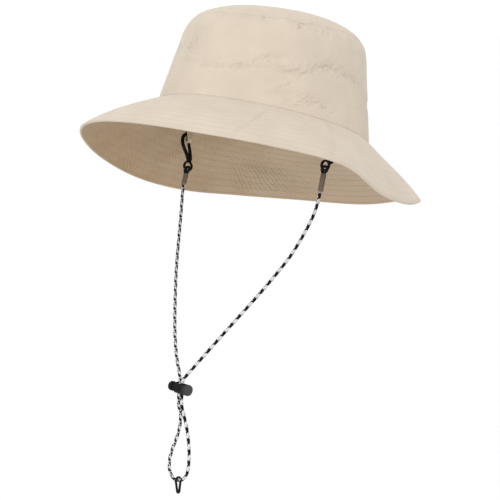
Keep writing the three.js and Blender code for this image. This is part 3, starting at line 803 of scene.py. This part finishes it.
def brim_shares():
    """Ways out across the brim, closer together at each row of stitches."""
    rows = np.linspace(BRIM_FIRST_ROW, BRIM_LAST_ROW, BRIM_STITCH_ROWS)
    near = GRID_AT_STITCHES * MM / BRIM_WIDTH
    between = (rows[1:] + rows[:-1]) / 2
    shares = np.concatenate([(rows[:, None] + near).ravel(), between, [0.02, 1.0]])
    return np.unique(np.clip(np.round(shares, 5), 0.005, 1))


def brim_relief(angle, share, side):
    """Grooves along the stitch rows, exp(-(away)^2) deep; slanting puckers between them, a sum of
    sines of the turn that comes and goes and is deepest in one place; crinkles of the cloth, and
    the long bends; side is 1 on top and -1 below."""
    place = (share - BRIM_FIRST_ROW) / BRIM_ROW_SPACING
    last = BRIM_STITCH_ROWS - 1
    away = (place - np.clip(np.round(place), 0, last)) * BRIM_ROW_SPACING * BRIM_WIDTH
    groove = STITCH_GROOVE[side] * bell(away / STITCH_GROOVE_HALF)
    band = np.sin(math.pi * np.clip(place, 0, last)) ** 2
    tier = np.floor(place)
    one, other = (
        np.sin(count * angle + shift * tier + phase) for count, shift, phase in BRIM_PUCKER_BEATS
    )
    strength = 0.55 + 0.45 * one * other
    gathered = 1 + GATHERED_MORE * bell(turn_from(angle, GATHERED_MIDDLE) / GATHERED_REACH)
    pucker = sum(
        part * np.sin(count * (angle + slant * share) + shift * tier)
        for count, slant, shift, part in BRIM_PUCKER_WAVES
    )
    relief = BRIM_PUCKER[side] * band * strength * gathered * pucker - groove
    relief += side * sharp_creases(angle, share * BRIM_WIDTH / CROWN_BACK_HEIGHT, BRIM_CRINKLES)
    return relief + side * brim_folds(angle, share)


def brim_folds(angle, share):
    """Long bends of the brim: creases that slant from the seam to the rim, and soft rolls; each is
    a bell across a line of angle against share, with soft ends."""
    fold = 0
    for start, end, low, high, width, depth in BRIM_FOLDS:
        line = start + (end - start) * (share - low) / (high - low)
        aside = turn_from(angle, np.radians(line)) * BRIM_FOLD_RADIUS
        begun = 1 + np.exp((low - share) / BRIM_FOLD_END)
        ended = 1 + np.exp((share - high) / BRIM_FOLD_END)
        fold += depth * MM / (begun * ended) * bell(2 * aside / (width * MM))
    return fold * ramp(share, *FADE_AT_BRIM_SEAM) * ramp(share, *FADE_AT_RIM)


def brim():
    """The brim's two faces, joined by a rounded rim and a mitred edge under the wall's foot."""
    shares = brim_shares()
    angle = around(BRIM_ROUND_STEPS)
    s = shares[None, :]
    normal = normals(brim_skin, angle, s)
    middle = brim_skin(angle, s) + normal * (BRIM_CLOTH / 2)
    rounding = np.clip(1 - (1 - s) * BRIM_WIDTH / BRIM_RIM_ROUND, 0, 1)
    half = BRIM_CLOTH / 2 * np.sqrt(np.clip(1 - rounding**2, 0.02, 1))
    upper = middle - normal * (half + brim_relief(angle, s, 1))[..., None]
    lower = middle + normal * (half + brim_relief(angle, s, -1))[..., None]
    foot = brim_skin(angle, 0 * angle)
    rings = np.concatenate([seam_inside(angle), lower, upper[:, ::-1], foot], 1)
    values = np.concatenate([[0], shares, shares[::-1], [0, 0]])
    # Past the hem the underside skips the darker nylon: a pale band, painted highlight along the
    # rim
    below = np.where(shares > BRIM_HEM_HIGHLIGHT_FROM, 0, 1)
    faces = np.concatenate([[1], below, np.zeros(len(shares)), [1]])
    uv = pattern_uv(BRIM_ROUND_STEPS, values)
    return grid_piece("brim_panel", tip_hat(rings), uv, split=faces)


def between(t, start, end, a, b):
    """Point at t on the straight way from a, at start, to b, at end."""
    return (end - t) / (end - start) * a + (t - start) / (end - start) * b


def centripetal(points, steps):
    """Centripetal Catmull-Rom curve through the points, then equal steps of its length."""
    ends = np.concatenate([[2 * points[0] - points[1]], points, [2 * points[-1] - points[-2]]])
    pieces = []
    for a, b, c, d in zip(ends[:-3], ends[1:-2], ends[2:-1], ends[3:]):
        t0 = 0.0
        t1 = t0 + np.linalg.norm(b - a) ** 0.5
        t2 = t1 + np.linalg.norm(c - b) ** 0.5
        t3 = t2 + np.linalg.norm(d - c) ** 0.5
        t = np.linspace(t1, t2, CURVE_SAMPLES, endpoint=False)[:, None]
        middle = between(t, t1, t2, b, c)
        left = between(t, t0, t2, between(t, t0, t1, a, b), middle)
        right = between(t, t1, t3, middle, between(t, t2, t3, c, d))
        pieces.append(between(t, t1, t2, left, right))
    line = np.concatenate(pieces + [points[-1:]])
    way = np.concatenate([[0], np.cumsum(np.linalg.norm(np.diff(line, axis=0), axis=1))])
    even = np.linspace(0, way[-1], steps)
    return np.stack([np.interp(even, way, line[:, k]) for k in range(3)], -1), way[-1]


def across_path(line, towards):
    """Two directions square to a path, the first the part of `towards` that is square to it."""
    tangent = np.gradient(line, axis=0)
    tangent /= np.linalg.norm(tangent, axis=1, keepdims=True)
    first = towards - (tangent @ towards)[:, None] * tangent
    first /= np.linalg.norm(first, axis=1, keepdims=True)
    return first, np.cross(tangent, first)


def braided_cord(name, points, diameter, rings, end_turn):
    """Round braid along a path: a radius plus a relief where three strands each way cross over and
    under, r(theta, s) = r0 + relief * |sin| of the strand that lies on top. Past the lowest point
    the pattern is turned by end_turn, so each length shows its own face of the braid."""
    line, length = centripetal(points, rings)
    first, second = across_path(line, CAMERA_WAY)
    share = np.linspace(0, 1, rings)
    lowest = share[np.argmin(line[:, 2])]
    turn = end_turn / (1 + np.exp((lowest - share) / BRAID_TURN_REACH))
    u = np.arange(CORD_ROUND) / CORD_ROUND
    along = share * length / BRAID_PITCH
    s_way = (u[None, :] + turn[:, None] - along[:, None]) * BRAID_STRANDS
    z_way = (u[None, :] + turn[:, None] + along[:, None]) * BRAID_STRANDS
    over = (np.floor(s_way) + np.floor(z_way)) % 2 == 0
    top = np.where(over, np.abs(np.sin(math.pi * s_way)), np.abs(np.sin(math.pi * z_way)))
    radius = diameter / 2 + BRAID_RELIEF * (top - BRAID_SUNK)
    theta = u[:, None] * TURN
    way_out = np.cos(theta) * first[:, None] + np.sin(theta) * second[:, None]
    ring = line[:, None] + radius[..., None] * way_out
    u_round = np.arange(CORD_ROUND + 1) / CORD_ROUND
    uv = np.stack(np.broadcast_arrays(u_round[:, None] + turn, along), -1)
    return grid_piece(name, np.swapaxes(ring, 0, 1), uv, closed=False), line, length


def unit(vector):
    return vector / np.linalg.norm(vector)


def cord_bight(name, side):
    """The short bight through a hook's eye: a narrow loop whose legs end at the sleeve and lie on
    both sides of the hook's plate, which faces the front turned by the hook's yaw."""
    eye, seam, sleeve_end = (np.array(side[key]) * MM for key in ("eye", "seam", "sleeve_end"))
    up = unit(seam - eye)
    front = np.array([-math.sin(HOOK_YAW), -math.cos(HOOK_YAW), 0])
    normal = np.cross(unit(front - up * (front @ up)), up)
    along = unit(sleeve_end - eye)
    across = unit(normal - along * (normal @ along))
    down, aside = BIGHT_LEG[:, :1] * MM * along, BIGHT_LEG[:, 1:] * MM * across
    points = np.concatenate([down + aside, [BIGHT_CROWN * along], (down - aside)[::-1]])
    return braided_cord(name, eye + points, BIGHT_DIAMETER, BIGHT_RINGS, 0.0)[0]


def put(tree, socket, value):
    """Sets a plain value on a socket, or links another node's output to it."""
    if isinstance(value, bpy.types.NodeSocket):
        tree.links.new(value, socket)
    else:
        socket.default_value = value


def node(tree, kind, settings=(), **inputs):
    """New node with its settings and inputs, whose names have underscores for spaces."""
    made = tree.nodes.new(kind)
    for key, value in dict(settings).items():
        setattr(made, key, value)
    for name, value in inputs.items():
        put(tree, made.inputs[name.replace("_", " ")], value)
    return made


def maths(tree, operation, *values):
    """One math node; each value is a number or another node's output."""
    made = node(tree, "ShaderNodeMath", {"operation": operation})
    for socket, value in zip(made.inputs, values):
        put(tree, socket, value)
    return made.outputs[0]


def times(tree, a, b):
    return maths(tree, "MULTIPLY", a, b)


def gap(tree, a, b):
    """|a - b|"""
    return maths(tree, "ABSOLUTE", maths(tree, "SUBTRACT", a, b))


def fade(tree, value, start, end):
    """Smooth step from 0 at start to 1 at end."""
    settings = {"interpolation_type": "SMOOTHSTEP"}
    made = node(tree, "ShaderNodeMapRange", settings, Value=value, From_Min=start, From_Max=end)
    return made.outputs[0]


def on_object(tree):
    return node(tree, "ShaderNodeTexCoord").outputs["Object"]


def parts(tree, vector):
    """X and Y of a vector."""
    split = node(tree, "ShaderNodeSeparateXYZ", Vector=vector)
    return split.outputs["X"], split.outputs["Y"]


def pattern(tree):
    """The pattern's coordinates: share of the turn, and way along the profile."""
    return parts(tree, node(tree, "ShaderNodeUVMap", {"uv_map": "pattern"}).outputs[0])


def new_material(name, colour, roughness, sheen=0.0, specular=0.5):
    """Material with its plain values on the shader's own sockets, and its node tree."""
    material = bpy.data.materials.new(name)
    material.use_nodes = True
    tree = material.node_tree
    shader = tree.nodes["Principled BSDF"]
    for key, value in (
        ("Base Color", (*colour, 1)), ("Roughness", roughness), ("Sheen Weight", sheen),
        ("Sheen Roughness", 0.5), ("Specular IOR Level", specular),
    ):
        put(tree, shader.inputs[key], value)
    return material, tree


def noise(tree, scale, detail=2.0, rough=0.5, warp=0.0):
    """Noise in the object's own coordinates."""
    made = node(
        tree, "ShaderNodeTexNoise", Vector=on_object(tree), Scale=scale, Detail=detail,
        Roughness=rough, Distortion=warp,
    )
    return made.outputs["Fac"]


def two_colours(tree, factor, dark, light, low=0.3, high=0.7):
    """From dark, where factor is low, to light, where it is high."""
    made = node(tree, "ShaderNodeValToRGB", Fac=factor)
    for element, place, colour in zip(made.color_ramp.elements, (low, high), (dark, light)):
        element.position = place
        element.color = (*colour, 1)
    return made.outputs[0]


def painted(tree, factor, shade, colour):
    """The shade, with a plain colour over it where factor is 1."""
    settings = {"data_type": "RGBA"}
    mix = node(tree, "ShaderNodeMix", settings, Factor=factor, A=shade, B=(*colour, 1))
    return mix.outputs["Result"]


def finish_material(material, shade, height, distance, strength):
    """Links a shade, where there is one, and a bump to the shader; gives the material back."""
    tree = material.node_tree
    shader = tree.nodes["Principled BSDF"]
    bump = node(tree, "ShaderNodeBump", Height=height, Distance=distance, Strength=strength)
    put(tree, shader.inputs["Normal"], bump.outputs[0])
    if shade is not None:
        put(tree, shader.inputs["Base Color"], shade)
    return material


def weave_height(tree):
    """Grain of the weave, with a crinkle of noise at two scales under it."""
    broad = noise(tree, *BROAD_CRINKLES)
    both = maths(tree, "MULTIPLY_ADD", noise(tree, *CRINKLES), CRINKLE_HEIGHT, broad)
    return maths(tree, "MULTIPLY_ADD", noise(tree, *WEAVE), WEAVE_HEIGHT, both)


def crumple_height(tree):
    """Sharp valleys of crumpled cloth where the crumple attribute is high: the distance of a warped
    noise from its middle value, at two scales."""
    wide = gap(tree, noise(tree, *WIDE_CRUMPLES), 0.5)
    narrow = gap(tree, noise(tree, *NARROW_CRUMPLES), 0.5)
    valleys = maths(tree, "MULTIPLY_ADD", narrow, NARROW_HEIGHT, wide)
    strength = node(tree, "ShaderNodeAttribute", {"attribute_name": "crumple"}).outputs["Fac"]
    return times(tree, times(tree, strength, valleys), CRUMPLE_HEIGHT)


def slanted_puckers(tree):
    """Fine puckers of the brim's underside: a sine of the pattern's turn plus a part of its share,
    so that the puckers slant, strongest behind the head and faint elsewhere."""
    turn, share = pattern(tree)
    sway = times(tree, noise(tree, *PUCKER_SWAYS), PUCKER_SWAY)
    slanted = maths(tree, "ADD", maths(tree, "MULTIPLY_ADD", share, PUCKER_SLANT, turn), sway)
    wave = maths(tree, "SINE", times(tree, slanted, PUCKER_COUNT * TURN))
    strong = times(
        tree, fade(tree, gap(tree, turn, PUCKER_MIDDLE), *PUCKER_ROUND),
        times(tree, fade(tree, share, *PUCKER_HEAD), fade(tree, share, *PUCKER_RIM)),
    )
    patchy = fade(tree, noise(tree, *PUCKER_PATCHES), *PUCKER_PATCHY)
    return times(tree, wave, maths(tree, "MULTIPLY_ADD", patchy, PUCKER_FAINT, strong))


def painted_light_round(tree, colour, lit_colour):
    """Painted light: cloth lighter on one side of the hat than on the other, a cosine of the
    pattern's turn, broken up by soft noise."""
    away = maths(tree, "SUBTRACT", pattern(tree)[0], UNDERSIDE_LIGHT_MIDDLE)
    swing = maths(tree, "COSINE", times(tree, away, TURN))
    mottled = times(tree, noise(tree, *UNDERSIDE_LIGHT_MOTTLING), UNDERSIDE_LIGHT_NOISE)
    factor = maths(tree, "MULTIPLY_ADD", swing, UNDERSIDE_LIGHT_SWING, mottled)
    return two_colours(tree, factor, colour, lit_colour, *UNDERSIDE_LIGHT_RANGE)


def stitch_rows(tree):
    """One where a stitch lies: close to a row across, and in the covered part of its pitch along.
    The number of stitches round a row grows with the row's length."""
    turn, share = pattern(tree)
    place = maths(tree, "DIVIDE", maths(tree, "SUBTRACT", share, BRIM_FIRST_ROW), BRIM_ROW_SPACING)
    row = maths(tree, "ROUND", place)
    stitches = maths(tree, "MULTIPLY_ADD", row, MORE_STITCHES, FIRST_ROW_STITCHES)
    phase = maths(tree, "FRACT", times(tree, turn, maths(tree, "ROUND", stitches)))
    covered = maths(tree, "LESS_THAN", phase, THREAD_COVER)
    return times(tree, covered, maths(tree, "LESS_THAN", gap(tree, place, row), THREAD_HALF))


def tinted(colour, factor):
    return [value * factor for value in colour]


def nylon(name, colour, stitched=False, crumpled=False, puckered=False, lit_colour=None):
    """Light matt nylon: two close shades mixed by soft noise, or its own colour and a lighter one
    round the hat, painted light; weave and crinkle in the bump, with sharp crumples or slanting
    puckers where asked for, and on the brim the rows of stitches in a darker tone."""
    material, tree = new_material(name, colour, NYLON_ROUGHNESS, NYLON_SHEEN, NYLON_SPECULAR)
    # Painted light: the colour turns lighter on one side of the hat
    if lit_colour:
        shade = painted_light_round(tree, colour, lit_colour)
    else:
        shades = [tinted(colour, factor) for factor in NYLON_SHADES]
        shade = two_colours(tree, noise(tree, *MOTTLING), *shades)
    height = weave_height(tree)
    if crumpled:
        height = maths(tree, "ADD", height, crumple_height(tree))
    if puckered:
        puckers = slanted_puckers(tree)
        height = maths(tree, "MULTIPLY_ADD", puckers, PUCKER_HEIGHT, height)
    if stitched:
        thread = stitch_rows(tree)
        tone = tinted(colour, THREAD_BELOW if puckered else THREAD_ON_TOP)
        shade = painted(tree, thread, shade, tone)
        height = maths(tree, "MULTIPLY_ADD", thread, THREAD_HEIGHT, height)
    return finish_material(material, shade, height, *NYLON_BUMP)


def moulded_plastic(name, colour, highlight_from=None):
    """Black moulded plastic: a faint grain in the bump and a little unevenness in its tone.
    Past the given place along X it turns grey: a painted highlight on the lock's closed end."""
    material, tree = new_material(name, colour, 0.5, specular=0.13)
    shade = two_colours(tree, noise(tree, 160), tinted(colour, 0.8), tinted(colour, 1.3))
    if highlight_from is not None:
        # Painted highlight: grey on the lock's closed end past the given place along X
        highlight_mask = fade(tree, parts(tree, on_object(tree))[0], highlight_from, highlight_from + LOCK_END_HIGHLIGHT_REACH)
        shade = painted(tree, highlight_mask, shade, LOCK_END_HIGHLIGHT)
    return finish_material(material, shade, noise(tree, 1500), 0.04 * MM, 0.5)


def braid_material(name, dark, light):
    """Braid of three strands each way, part of them dark and the rest light: the strand on top
    gives the colour, so one face shows long dashes and the face beside it a fine zigzag."""
    material, tree = new_material(name, (0.5, 0.5, 0.5), 0.8, specular=0.1)
    turn, along = pattern(tree)
    ways = maths(tree, "SUBTRACT", turn, along), maths(tree, "ADD", turn, along)
    strands = [maths(tree, "FLOOR", times(tree, way, BRAID_STRANDS)) for way in ways]
    crossing = maths(tree, "FLOORED_MODULO", maths(tree, "ADD", *strands), 2.0)
    over = maths(tree, "LESS_THAN", crossing, 0.5)
    under = maths(tree, "SUBTRACT", 1.0, over)
    whites = [maths(tree, "GREATER_THAN", maths(tree, "FRACT", way), BRAID_BLACK) for way in ways]
    white = maths(tree, "ADD", times(tree, over, whites[0]), times(tree, under, whites[1]))
    shade = two_colours(tree, white, (dark,) * 3, (light,) * 3, 0.4, 0.6)
    return finish_material(material, shade, noise(tree, 3000), 0.05 * MM, 0.6)


def sleeve_material(name):
    """Grey-brown shrunk sleeve: satin, mottled by soft noise, with a faint grain."""
    material, tree = new_material(name, (0.1, 0.075, 0.052), 0.5, specular=0.4)
    shade = two_colours(tree, noise(tree, 300), SLEEVE_DARK, SLEEVE_LIGHT)
    return finish_material(material, shade, noise(tree, 900), 0.05 * MM, 0.5)


def finish_cad_node(name, material, voxel):
    """Makes a hard piece one smooth skin: its loose triangles are welded, rebuilt from voxels finer
    than its facets and evened out, which also rounds the edges."""
    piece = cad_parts[name]
    weld = piece.modifiers.new("weld", "WELD")
    weld.merge_threshold = WELD_WITHIN
    skin = piece.modifiers.new("skin", "REMESH")
    skin.mode = "VOXEL"
    skin.voxel_size = voxel
    skin.use_smooth_shade = True
    even = piece.modifiers.new("even", "SMOOTH")
    even.factor = 0.5
    even.iterations = SMOOTH_ROUNDS
    piece.data.materials.clear()
    piece.data.materials.append(material)
    return piece


def key_light():
    """One large soft light on the hat's front, aimed at the origin."""
    data = bpy.data.lights.new("key", "AREA")
    data.shape = "DISK"
    data.size = KEY_SIZE
    data.energy = KEY_POWER
    light = add_object("key", data)
    light.location = KEY_PLACE
    x, y, z = KEY_PLACE
    light.rotation_euler = (math.atan2(math.hypot(x, y), z), 0, math.atan2(x, -y))


def studio():
    """White floor well below the hat, white sky and one large soft light."""
    half, level = FLOOR_HALF, cad_box[0].z - FLOOR_BELOW
    corners = [(x * half, y * half, level) for x, y in ((-1, -1), (1, -1), (1, 1), (-1, 1))]
    mesh = bpy.data.meshes.new("floor")
    mesh.from_pydata(corners, [], [(0, 1, 2, 3)])
    floor = add_object("floor", mesh)
    paint, tree = new_material("floor_paint", (0.8, 0.8, 0.8), 0.9, specular=0.2)
    mesh.materials.append(finish_material(paint, None, noise(tree, 40), 0.2 * MM, 0.2))
    world = bpy.data.worlds.new("studio")
    world.use_nodes = True
    background = world.node_tree.nodes["Background"]
    background.inputs["Color"].default_value = (1, 1, 1, 1)
    background.inputs["Strength"].default_value = SKY_STRENGTH
    bpy.context.scene.world = world
    bpy.context.scene.view_settings.view_transform = "Standard"
    key_light()


make_camera()

cord_piece, cord_line, cord_length = braided_cord(
    "chin_cord_braid", CORD_ROUTE, CORD_DIAMETER, CORD_RINGS, BRAID_TURN
)
braid = braid_material("black_white_braid", 0.006, 0.53)
black_braid = braid_material("black_braid", 0.008, 0.02)
cord_piece.data.materials.append(braid)
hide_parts("chin_cord")
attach(cord_piece, "hat")

plastic = moulded_plastic("black_moulded_plastic", BLACK_PLASTIC)
sleeve_finish = sleeve_material("brown_shrunk_sleeve")

on_cord = []
for label, side in SIDES.items():
    bight = cord_bight(f"cord_bight_{label}_braid", side)
    bight.data.materials.append(black_braid)
    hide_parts(f"cord_bight_{label}")
    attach(bight, "hat")
    sleeve = finish_cad_node(f"cord_sleeve_{label}", sleeve_finish, SLEEVE_VOXEL)
    on_cord += [bight, sleeve]
    finish_cad_node(f"snap_hook_{label}", plastic, HOOK_VOXEL)

# The lock's barrel gets a painted highlight on its closed end
highlighted_lock_plastic = moulded_plastic("lock_plastic_painted_highlight", BLACK_PLASTIC, highlight_from=1 * MM)
barrel = finish_cad_node("cord_lock_barrel", highlighted_lock_plastic, LOCK_VOXEL)
plunger = finish_cad_node("cord_lock_plunger", plastic, LOCK_VOXEL)
ring = finish_cad_node("pull_ring", plastic, RING_VOXEL)
on_cord += [barrel, plunger, ring]

wall_nylon = nylon("crown_nylon", UPPER_CLOTH, crumpled=True)
# The crown's inside and the brim's underside take darker nylon, painted shade
inner_nylon = nylon("crown_inner_nylon", SHADED_INNER_CLOTH)
brim_nylon = nylon("brim_nylon", UPPER_CLOTH, stitched=True)
# The brim's underside also turns lighter on one side of the hat: painted light
under_nylon = nylon(
    "brim_under_nylon", SHADED_UNDER_BRIM_CLOTH, stitched=True, puckered=True, lit_colour=LIT_UNDER_BRIM_CLOTH
)
tape = nylon("loop_tape", TAPE_CLOTH)

for panel, outer, inner, replaced in (
    (crown_side(), wall_nylon, inner_nylon, "crown_side"),
    (crown_tip(), wall_nylon, inner_nylon, "crown_tip"),
    (brim(), brim_nylon, under_nylon, "brim"),
):
    panel.data.materials.append(outer)
    panel.data.materials.append(inner)
    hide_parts(replaced)
    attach(panel, "hat")

for label in SIDES:
    finish_cad_node(f"fabric_loop_{label}", tape, TAPE_VOXEL)

studio()
